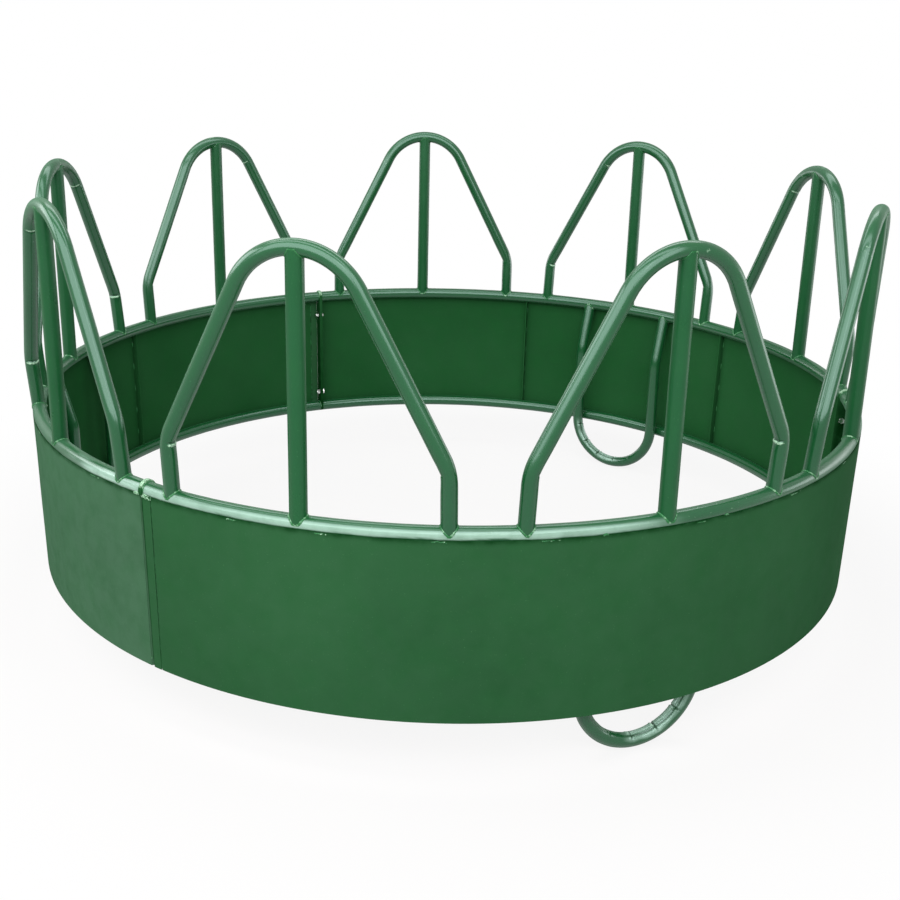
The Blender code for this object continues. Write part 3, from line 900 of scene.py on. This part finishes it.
def pressed(point, centre, turn, seed):
    """How far a point of a foot lies in the fold that the press left, and in the worn,
    painted-reflection patch.
    """
    offset = point - centre
    along = offset.dot(along_ring(turn))
    share = 0.5 - atan2(along, -offset.z) / pi
    press = smoothstep(0.0, 0.08, share) * (1 - smoothstep(0.52, 0.60, share))
    inward = FOOT_HALF_SPREAD - hypot(along, offset.z)
    angle = degrees(atan2(abs(offset.dot(outward(turn))), inward))
    fold = press * bell(angle - FOLD_ANGLE + 2 * waver(point, 0.03, seed), 6.0)
    patch = press * (1 - smoothstep(66, 86, angle + 16 * waver(point, 0.03, seed + 4)))
    return fold, patch * (1 - fold) * (0.85 + 0.5 * waver(point, 0.02, seed + 8))


def foot_tacks(turn, skin, seed):
    """Beads between a foot's legs and the bottom rail."""
    touch = BOTTOM_RING_RADIUS - TUBE_RADIUS
    for sign in (1, -1):
        angle = turn + sign * asin(FOOT_HALF_SPREAD / touch)
        for side in (1, -1):
            way = (along_ring(angle) * side - outward(angle) * 0.4).normalized()
            spots = []
            for share in shares(8):
                rise = (share - 0.5) * FOOT_TACK
                spread = side * (0.006 + 6 * abs(rise) ** 1.5)
                spots.append((ring_point(angle, touch - FOOT_TACK_SINK, BOTTOM_RAIL_Z + rise)
                              + along_ring(angle) * spread, way))
            bead(skin, spots, BEAD_RADIUS * 0.9, seed + side)


def build_foot(letter, turn, skin):
    path, centre, start, end = foot_route(turn)
    seed = 77.0 + SEGMENTS.index(letter)
    creases, bends = [], []
    for share, strength in FOOT_WRINKLES:
        place = start + (end - start) * share
        inner = (centre - path.at(place)).normalized()
        strength += 0.3 * waver(path.at(place), 0.05, seed)
        creases.append((place, inner, strength, 1, 0.3))
        span = (end - start) * 0.07
        bends.append((place - span, place + span, inner, FOOT_FLATTENING, 0.0))
    rings, wear_and_painted_light = tube_rings(path, TUBE_RADIUS, along_ring(turn), bends, creases, seed=seed)
    for ring, marks in zip(rings, wear_and_painted_light):
        middle = sum(ring, Vector()) / len(ring)
        for index, point in enumerate(ring):
            fold = pressed(point, centre, turn, seed)[0]
            ring[index] = point - (point - middle).normalized() * fold * FOLD_DEPTH
            # The fold is painted dark, as painted shade.
            marks[index] -= 1.5 * fold
    ends = [(path.at(tip), (path.at(tip) - path.at(back)).normalized())
            for tip, back in ((0.0, 0.02), (path.length, path.length - 0.02))]
    stand_on_rail(skin, rings, wear_and_painted_light, ends, COPE_REACH * 1.2, seed)
    # The worn patch is painted pale, as a painted reflection.
    shell_piece("foot_loop_" + letter, "_tube", rings, wear_and_painted_light, TUBE_ENAMEL,
                lambda point: FOOT_WEAR_AND_REFLECTION * pressed(point, centre, turn, seed)[1])
    foot_tacks(turn, skin, seed)


# Skirt.

def sheet_band(path, thickness, bulge, seed):
    """Closed rings of a thin skin, one ring round the section at each place along the ring.

    path is a list of (angle, inward step) at the skin's middle. The ring goes down the outer face
    and up the inner face.
    """
    top = RING_RADIUS + SHEET_SEAT + thickness / 2
    bottom = BOTTOM_RING_RADIUS + BOTTOM_SEAT + thickness / 2
    rings = []
    for index, (angle, step) in enumerate(path):
        before = path[max(index - 1, 0)]
        after = path[min(index + 1, len(path) - 1)]
        run = (after[0] - before[0]) * RING_RADIUS
        fall = after[1] - before[1]
        normal = (outward(angle) * run + along_ring(angle) * fall).normalized()
        outer, inner = [], []
        for row in range(SHEET_ROWS + 1):
            share = (row / SHEET_ROWS) ** 1.5
            height = between(SHEET_TOP_Z, SHEET_BOTTOM_Z, share)
            spot = ring_point(angle, between(top, bottom, share) - step, height)
            rim = row in (0, SHEET_ROWS)
            edge = 0.0 if rim else sin(pi * share) ** 0.8
            wave = waver(Vector((angle * RING_RADIUS, height * 1.3, 0)), 0.24, seed)
            spot = spot + outward(angle) * bulge * edge * wave
            trim = 0.72 if rim else 1.0
            outer.append(spot + normal * thickness / 2 * trim)
            inner.append(spot - normal * thickness / 2 * trim)
        rings.append(outer + inner[::-1])
    return rings


def grime_of(skin):
    """Painted shade along the top edge, under the rail, and in the joint's groove."""
    grime = []
    for point in skin.verts:
        fall = max(SHEET_TOP_Z - point.z, 0.0)
        face = OUTER_RADIUS - BOTTOM_RAIL_INSET * fall / (SHEET_TOP_Z - BOTTOM_RAIL_Z)
        depth = face - hypot(point.x, point.y)
        under = 0.9 * bell(fall + 0.004 * waver(point, 0.05), SHADE_DEPTH / 2)
        grime.append(max(under, smoothstep(0.0010, 0.0034, depth)))
    return grime


def sheet_piece(name, ending, rings, outer_bleach, inner_bleach):
    """A sheet's or a strip's piece, painted lighter by so much on each face, as painted light."""
    skin = Skin()
    skin.rings(rings)
    face = SHEET_ROWS + 1
    bleach = ([outer_bleach] * face + [inner_bleach] * face) * len(rings)
    skin.piece(name + ending, SHEET_ENAMEL, replaced=[name], grime=grime_of(skin), bleach=bleach)


def build_sheet(letter, turn):
    path = [(turn + between(-SHEET_START, RAIL_END, share), 0.0) for share in shares(SHEET_STEPS)]
    flat_end = GAP / 2 + SHEET_THICKNESS / 2 + SHEET_LIP_ROLL
    for share in shares(LIP_STEPS):
        bend = pi / 2 * share
        along = flat_end - SHEET_LIP_ROLL * sin(bend)
        path.append((turn + SEGMENT_HALF - along / RING_RADIUS, SHEET_LIP_ROLL * (1 - cos(bend))))
    rings = sheet_band(path, SHEET_THICKNESS, SHEET_BULGE, 5.0 * SEGMENTS.index(letter))
    sheet_piece("skirt_sheet_" + letter, "_skin", rings, SHEET_PAINTED_LIGHT[letter], 0.0)
    first = -SEGMENT_HALF + JOINT_GROOVE / RING_RADIUS
    path = [(turn + between(first, -STRIP_END, share), 0.0) for share in shares(STRIP_STEPS)]
    rings = sheet_band(path, STRIP_THICKNESS, 0.0, 0.0)
    sheet_piece("joint_strip_" + letter, "_flat", rings, SHEET_PAINTED_LIGHT["a"], SHEET_PAINTED_LIGHT["a"])


def build_rib(label, turn, skin):
    """A flat bar on edge behind the sheet, its ends fitted to both rails."""
    outer_top = RING_RADIUS + SHEET_SEAT - GAP
    outer_bottom = BOTTOM_RING_RADIUS + BOTTOM_SEAT - GAP
    share = RIB_INSET / (SHEET_TOP_Z - BOTTOM_RAIL_Z)
    section = []
    for start, (x, y) in enumerate(((1, 1), (-1, 1), (-1, -1), (1, -1))):
        corner = (x * (RIB_DEPTH / 2 - RIB_EDGE), y * (RIB_THICKNESS / 2 - RIB_EDGE))
        section += arc(corner, RIB_EDGE, start * pi / 2, (start + 1) * pi / 2, 3)
    high = ring_point(turn, between(outer_top, outer_bottom, share) - RIB_DEPTH / 2,
                      TOP_RAIL_Z - RIB_INSET)
    low = ring_point(turn, between(outer_bottom, outer_top, share) - RIB_DEPTH / 2,
                     BOTTOM_RAIL_Z + RIB_INSET)
    way = (low - high).normalized()
    rings = [[high.lerp(low, step) + outward(turn) * x + along_ring(turn) * y for x, y in section]
             for step in shares(RIB_STEPS)]
    wear_and_painted_light = [[0.0] * len(section) for _ in rings]
    cope(rings, wear_and_painted_light, -way, top_gap, RIB_INSET + 0.01)
    turn_round(rings, wear_and_painted_light)
    cope(rings, wear_and_painted_light, way, bottom_gap, RIB_INSET + 0.01)
    shell_piece("skirt_rib_" + label, "_bar", rings, wear_and_painted_light, SHEET_ENAMEL)
    for height in RIB_BEAD_HEIGHTS:
        for side in (1, -1):
            way = (along_ring(turn) * side - outward(turn)).normalized()
            spots = []
            for share in shares(6):
                z = height + (share - 0.5) * RIB_TACK
                climb = (z - BOTTOM_RAIL_Z) / (SHEET_TOP_Z - BOTTOM_RAIL_Z)
                spot = ring_point(turn, between(outer_bottom, outer_top, climb), z)
                spots.append((spot + along_ring(turn) * side * 0.002, way))
            bead(skin, spots, BEAD_RADIUS * 0.8, height * 50 + side, 0.4)


def build_stitches(letter, turn, skin):
    """Ragged tacks along the sheet's top edge, under the rail."""
    stitch_z = SHEET_TOP_Z - STITCH_DROP
    for index, place in enumerate(STITCH_TURNS):
        drift = waver(Vector((index * 1.7, SEGMENTS.index(letter) * 3.1, 0)), 1.0)
        middle = turn + radians(place)
        half = STITCH_LENGTH / 2 / RING_RADIUS * (1 + 0.5 * drift)
        spots = []
        for step in range(13):
            angle = middle + half * (step / 6 - 1)
            stray = waver(Vector((index * 2.3, step * 0.55, turn)), 1.0)
            spot = ring_point(angle, OUTER_RADIUS - STITCH_SINK, stitch_z + 0.0028 * stray)
            spots.append((spot, tipped(angle, 0.35)))
        bead(skin, spots, BEAD_RADIUS * 0.6, index + turn, 0.9)
        for lump in range(2 + index % 2):
            stray = waver(Vector((index * 2.3, lump * 1.9, turn)), 1.0)
            angle = middle + half * (lump - 0.7 + 0.6 * stray)
            radius = BEAD_RADIUS * (0.6 + 0.4 * stray)
            spot = ring_point(angle, OUTER_RADIUS - LUMP_SINK, stitch_z + 0.003 * stray)
            blob(skin, spot, tipped(angle, 0.35), radius,
                 along_ring(angle) * radius * (0.9 + stray), index + 0.3 * lump + turn)


def build_seam(turn, skin):
    """The weld that closes the groove between a sheet and its joint strip."""
    angle = turn - STRIP_END + STRIP_GROOVE / 2 / RING_RADIUS
    top, bottom = RING_RADIUS + SHEET_SEAT, BOTTOM_RING_RADIUS + BOTTOM_SEAT
    spots = [(ring_point(angle, between(top, bottom, share) - SEAM_RADIUS * 0.3,
                         between(SHEET_TOP_Z, SHEET_BOTTOM_Z, share)), outward(angle))
             for share in shares(30)]
    # The seam's bead is painted dark all along, as painted shade in the groove.
    bead(skin, spots, SEAM_RADIUS, turn, worn_and_lit=-3)


# Joints.

def rail_line(height):
    """Distance from the ring's axis of the line through both rails, at a height."""
    share = (height - BOTTOM_RAIL_Z) / (TOP_RAIL_Z - BOTTOM_RAIL_Z)
    return BOTTOM_RING_RADIUS + BOTTOM_RAIL_INSET * share


def bolt_heights():
    return {"upper": TOP_RAIL_Z - UPPER_BOLT_DROP, "lower": BOTTOM_RAIL_Z + LOWER_BOLT_RISE}


def plate_shape(sign):
    """Outline and holes of an end plate, as (radius, height) points."""
    rim = TUBE_RADIUS + PLATE_RIM
    lip = SHEET_LIP_ROLL - SHEET_THICKNESS / 2 if sign == 1 else -2 * GAP
    shoulder = SHEET_TOP_Z + 2 * GAP
    top_edge = RING_RADIUS + SHEET_SEAT - lip - GAP
    bottom_edge = BOTTOM_RING_RADIUS + BOTTOM_SEAT - lip - GAP
    first = asin((shoulder - TOP_RAIL_Z) / rim)
    low = -acos(min((bottom_edge - BOTTOM_RING_RADIUS) / TUBE_RADIUS, 1.0))
    outline = [(top_edge, shoulder)]
    outline += arc((RING_RADIUS, TOP_RAIL_Z), rim, first, pi, 30)
    outline += arc((BOTTOM_RING_RADIUS, BOTTOM_RAIL_Z), TUBE_RADIUS, -pi, low, 24)
    if sign == -1:
        outline.append((bottom_edge, BOTTOM_RAIL_Z))
    hole = (BOLT_DIAMETER + BOLT_HOLE_PLAY) / 2
    holes = [arc((rail_line(height) - BOLT_INSET, height), hole, 0, tau, 32)[:-1]
             for height in bolt_heights().values()]
    return outline, holes


def build_plate(letter, side, sign, turn):
    curve = bpy.data.curves.new("plate", "CURVE")
    curve.dimensions = "2D"
    curve.fill_mode = "BOTH"
    curve.extrude = PLATE_THICKNESS / 2 - PLATE_EDGE
    curve.bevel_depth = PLATE_EDGE
    curve.bevel_resolution = 2
    curve.offset = -PLATE_EDGE
    outline, holes = plate_shape(sign)
    for ring in [outline] + holes:
        spline = curve.splines.new("POLY")
        spline.points.add(len(ring) - 1)
        spline.use_cyclic_u = True
        for spot, point in zip(spline.points, ring):
            spot.co = (*point, 0.0, 1.0)
    model = add_object("plate", curve)
    bpy.context.view_layer.update()
    shape = bpy.data.meshes.new_from_object(
        model.evaluated_get(bpy.context.evaluated_depsgraph_get()))
    bpy.data.objects.remove(model)
    end = turn + sign * SEGMENT_HALF
    upright = Matrix(((0, 0, -1), (-1, 0, 0), (0, 1, 0))).to_4x4()
    push = Matrix.Translation(-sign * PLATE_MIDDLE * along_ring(end))
    shape.transform(push @ Matrix.Rotation(end, 4, "Z") @ upright)
    name = f"end_plate_{letter}_{side}"
    verts = [vert.co.copy() for vert in shape.vertices]
    faces = [tuple(face.vertices) for face in shape.polygons]
    # Painted shade on the plate below the rail, and its rim above the rail painted pale as worn paint
    # and painted highlight.
    grime = [1 - smoothstep(TOP_RAIL_Z - 0.06, TOP_RAIL_Z - 0.02, vert.z) for vert in verts]
    wear_and_painted_light = [smoothstep(TOP_RAIL_Z + 0.004, TOP_RAIL_Z + 0.016, vert.z) for vert in verts]
    make_piece(name + "_steel", verts, faces, SHEET_ENAMEL,
               {"wear_and_painted_light": wear_and_painted_light, "grime": grime}, [name])


def lathe_ring(place, radius, hexed=False, facing=0):
    """A ring round the X axis, round or hexagonal, with its corners drawn back from a face."""
    ring = []
    for turn in around(BOLT_SIDES):
        size, drop = radius, 0.0
        if hexed:
            size = BOLT_FLATS / 2 / cos((turn + pi / 6) % (pi / 3) - pi / 6)
            drop = max(size - BOLT_FLATS / 2, 0.0) * tan(radians(30))
        ring.append(Vector((place - facing * drop, size * sin(turn), size * cos(turn))))
    return ring


def thread_ring(place, core, end):
    """A ring round the X axis through a thread that runs out at its end."""
    ring = []
    for turn in around(BOLT_SIDES):
        phase = (place / THREAD_PITCH - turn / tau) % 1.0
        taper = smoothstep(end - 0.0012, end, place)
        size = core - THREAD_DEPTH * max(abs(2 * phase - 1) * 0.9, taper)
        ring.append(Vector((place, size * sin(turn), size * cos(turn))))
    return ring


def zinc_piece(name, rings, spin, closed=False):
    skin = Skin()
    skin.rings([[spin @ point for point in ring] for ring in rings], closed=closed)
    skin.piece(name + "_zinc", ZINC, "zinc_plated_steel", [name])


def build_joint(mark, turn):
    """The bolts and nuts of a joint, each pair turned by an amount of its own."""
    core = BOLT_DIAMETER / 2
    inner = BOLT_FLATS / 2 * 0.94
    bore = core + GAP
    head = -JOINT_GRIP - BOLT_HEAD_HEIGHT
    top = JOINT_GRIP + NUT_HEIGHT
    start, end = top - 0.001, top + BOLT_END_PAST_NUT
    bolt = [lathe_ring(*row) for row in (
        (head + 0.0004, 0.0004), (head + 0.0003, inner * 0.82), (head, inner * 0.88),
        (head, inner), (head, inner, True, -1), (-JOINT_GRIP - 0.0004, inner, True),
        (-JOINT_GRIP, inner), (-JOINT_GRIP, core))]
    bolt += [thread_ring(between(start, end, share), core, end) for share in shares(THREAD_ROWS)]
    bolt.append([Vector((end, p.y * 0.1, p.z * 0.1)) for p in bolt[-1]])
    nut = [lathe_ring(*row) for row in (
        (JOINT_GRIP, bore + NUT_CHAMFER), (JOINT_GRIP, inner), (JOINT_GRIP, inner, True, -1),
        (top, inner, True, 1), (top, inner), (top, bore + NUT_CHAMFER),
        (top - NUT_CHAMFER, bore), (JOINT_GRIP + NUT_CHAMFER, bore))]
    for level, height in bolt_heights().items():
        centre = ring_point(turn, rail_line(height) - BOLT_INSET, height)
        spin = Matrix.Translation(centre) @ Matrix.Rotation(turn, 4, "Z")
        spin = spin @ Matrix.Rotation(0.5 + height * 31 + turn, 4, "X")
        zinc_piece(f"joint_bolt_{mark}_{level}", bolt, spin)
        zinc_piece(f"joint_nut_{mark}_{level}", nut, spin, closed=True)


def plate_beads(turn, skin):
    """Beads that close each rail's end on its plate."""
    for sign in (1, -1):
        end = turn + sign * RAIL_END
        for radius, height, seed in ((RING_RADIUS, TOP_RAIL_Z, 3.0),
                                     (BOTTOM_RING_RADIUS, BOTTOM_RAIL_Z, 8.0)):
            spots = []
            for share in shares(24):
                place, way = rail_skin(end, radians(-10 + 200 * share), radius, height)
                spots.append((place, (way - along_ring(end) * sign * 0.9).normalized()))
            bead(skin, spots, BEAD_RADIUS * 0.85, seed + sign + turn)


def joint_blobs(turn, skin):
    """Rough welds where the strip and the rolled sheet meet the rail and its plate."""
    for offset, drop, size, length, seed in JOINT_BLOBS:
        angle = turn + offset / RING_RADIUS
        place = ring_point(angle, OUTER_RADIUS - BLOB_SINK, SHEET_TOP_Z - drop)
        blob(skin, place, tipped(angle, 0.4), BLOB_RADIUS * size,
             along_ring(angle) * 0.004 * length, seed + 7 * turn)


def build_spatter(letter, turn, skin):
    """Droplets thrown on the rail beside the welds."""
    for index in range(SPATTER_COUNT):
        spot = Vector((index * 0.713, SEGMENTS.index(letter) * 5.3, 1.7))
        angle = turn + SEGMENT_HALF * 1.5 * waver(spot, 0.31)
        place, way = rail_skin(angle, radians(35 + 75 * waver(spot, 0.17, 4.0)))
        spatter(skin, place, way, SPATTER_RADIUS * (0.7 + 0.5 * waver(spot, 0.11)))


def build_segment(letter):
    turn = segment_turn(letter)
    index = SEGMENTS.index(letter)
    build_rail("top_rail_" + letter, RING_RADIUS, TOP_RAIL_Z, turn, 3.0 + index)
    build_rail("bottom_rail_" + letter, BOTTOM_RING_RADIUS, BOTTOM_RAIL_Z, turn, 9.0 + index)
    build_sheet(letter, turn)
    welds = Skin()
    for number in range(1, LOOPS_PER_SEGMENT + 1):
        label = f"{letter}{number}"
        angle = turn + (number - 0.5) * LOOP_PITCH - SEGMENT_HALF
        build_loop(label, 10.0 * number + 41.0 * index, angle, welds)
        build_bar(label, 7.0 * number + 29.0 * index, angle, welds)
        if number < LOOPS_PER_SEGMENT:
            build_rib(label, angle + LOOP_PITCH / 2, welds)
    build_foot(letter, turn, welds)
    build_stitches(letter, turn, welds)
    build_seam(turn, welds)
    plate_beads(turn, welds)
    joint_blobs(turn - SEGMENT_HALF, welds)
    build_spatter(letter, turn, welds)
    welds.piece("welds_" + letter, WELD_ENAMEL)
    for side, sign in (("left", -1), ("right", 1)):
        build_plate(letter, side, sign, turn)


for letter in SEGMENTS:
    build_segment(letter)
    following = SEGMENTS[(SEGMENTS.index(letter) + 1) % len(SEGMENTS)]
    build_joint(letter + following, segment_turn(letter) + SEGMENT_HALF)


# Stage, light and camera.
CAMERA_PLACE = Vector((-1.5374, -3.3335, 1.6943))
CAMERA_TARGET = Vector((-0.0712, 0.0310, 0.4763))
CAMERA_ROLL = radians(0.968)
CAMERA_LENS = 49.6
CAMERA_SENSOR = 36.0
CAMERA_SHIFT = (0.0340, -0.0327)
FLOOR_RADIUS = 14.0
FLOOR_SIDES = 96
FLOOR_COLOUR = (0.48, 0.465, 0.455, 1.0)
FLOOR_ROUGHNESS = 0.9
FLOOR_WHITE = (0.85, 1.0)
FLOOR_FADE = (1.15, 2.3)
ROOM_LEVEL = 0.13
# Panels: bearing from the camera's side, distance from the axis, height, aim, size, radiance.
PANELS = {
    "front": (-22.0, 4.0, 3.1, (0.0, 0.0, 0.8), (5.4, 3.4), 4.8),
    "left": (-84.0, 4.0, 2.5, (0.0, 0.0, 0.7), (3.0, 1.8), 5.4),
    "right": (29.0, 4.3, 2.9, (0.0, 0.0, 0.8), (2.8, 2.8), 4.7),
    "top": (-16.0, 1.4, 3.9, (0.0, -0.4, 0.6), (5.4, 0.8), 4.6),
    "back": (180.0, 0.9, 3.6, (0.0, 0.5, 0.0), (4.6, 1.0), 4.2),
    "side_fill": (112.0, 3.7, 0.75, (0.0, 0.0, 0.4), (4.6, 1.2), 2.6),
    "rear_fill": (-160.0, 3.7, 0.75, (0.0, 0.0, 0.4), (4.6, 1.2), 2.2),
}
PANEL_TINT = (1.0, 0.985, 1.0)


def seen_directly(nodes):
    """1 for camera, glossy and transmission rays, and 0 for the rest."""
    rays = nodes.tree.nodes.new("ShaderNodeLightPath").outputs
    first = nodes.math("MAXIMUM", rays["Is Camera Ray"], rays["Is Glossy Ray"])
    return nodes.math("MAXIMUM", first, rays["Is Transmission Ray"])


def build_world():
    """A white room that gives the object only a low, even light."""
    world = bpy.data.worlds.new("studio")
    nodes = Nodes(world)
    level = nodes.remap(seen_directly(nodes), 0.0, 1.0, ROOM_LEVEL, 1.0)
    nodes.give(nodes.tree.nodes["Background"], {"Color": (1, 1, 1, 1), "Strength": level})
    bpy.context.scene.world = world


def build_floor():
    """A pale floor that goes white with distance."""
    verts = [Vector()] + [ring_point(turn, FLOOR_RADIUS, 0.0) for turn in around(FLOOR_SIDES)]
    faces = [(0, 1 + side, 1 + (side + 1) % FLOOR_SIDES) for side in range(FLOOR_SIDES)]
    mesh = bpy.data.meshes.new("floor")
    mesh.from_pydata(verts, [], faces)
    nodes = Nodes(bpy.data.materials.new("floor"))
    shader = nodes.tree.nodes["Principled BSDF"]
    nodes.give(shader, {"Base Color": FLOOR_COLOUR, "Roughness": FLOOR_ROUGHNESS})
    reach = nodes.add("VectorMath", "Value", {0: nodes.place()}, operation="LENGTH")
    fade = nodes.remap(reach, *FLOOR_FADE, *FLOOR_WHITE, interpolation_type="SMOOTHSTEP")
    share = nodes.math("MULTIPLY", fade, seen_directly(nodes))
    white = nodes.add("Emission", "Emission", {})
    surface = nodes.add("MixShader", "Shader", {"Fac": share, 1: shader.outputs["BSDF"], 2: white})
    nodes.give(nodes.tree.nodes["Material Output"], {"Surface": surface})
    mesh.materials.append(nodes.owner)
    add_object("floor", mesh)


def aim(thing, place, target, roll=0.0):
    way = (target - place).to_track_quat("-Z", "Y").to_matrix()
    thing.matrix_world = Matrix.Translation(place) @ (
        way @ Matrix.Rotation(roll, 3, "Z")).to_4x4()


def build_panel(name, bearing, distance, height, target, size, radiance):
    """A soft panel of even radiance, out of the camera's sight."""
    lamp = bpy.data.lights.new(name, "AREA")
    lamp.shape = "RECTANGLE"
    lamp.size, lamp.size_y = size
    lamp.energy = radiance * pi * size[0] * size[1]
    lamp.color = PANEL_TINT
    panel = add_object(name, lamp)
    panel.visible_camera = False
    view_turn = atan2(CAMERA_PLACE.x, -CAMERA_PLACE.y)
    spin = Matrix.Rotation(view_turn, 3, "Z")
    aim(panel, ring_point(view_turn + radians(bearing), distance, height), spin @ Vector(target))


def build_camera():
    lens = bpy.data.cameras.new("camera")
    lens.lens = CAMERA_LENS
    lens.sensor_width = CAMERA_SENSOR
    lens.shift_x, lens.shift_y = CAMERA_SHIFT
    camera = add_object("camera", lens)
    aim(camera, CAMERA_PLACE, CAMERA_TARGET, CAMERA_ROLL)
    bpy.context.scene.camera = camera


build_world()
build_floor()
build_camera()
for panel, layout in PANELS.items():
    build_panel(panel, *layout)
bpy.context.scene.view_settings.view_transform = "Standard"
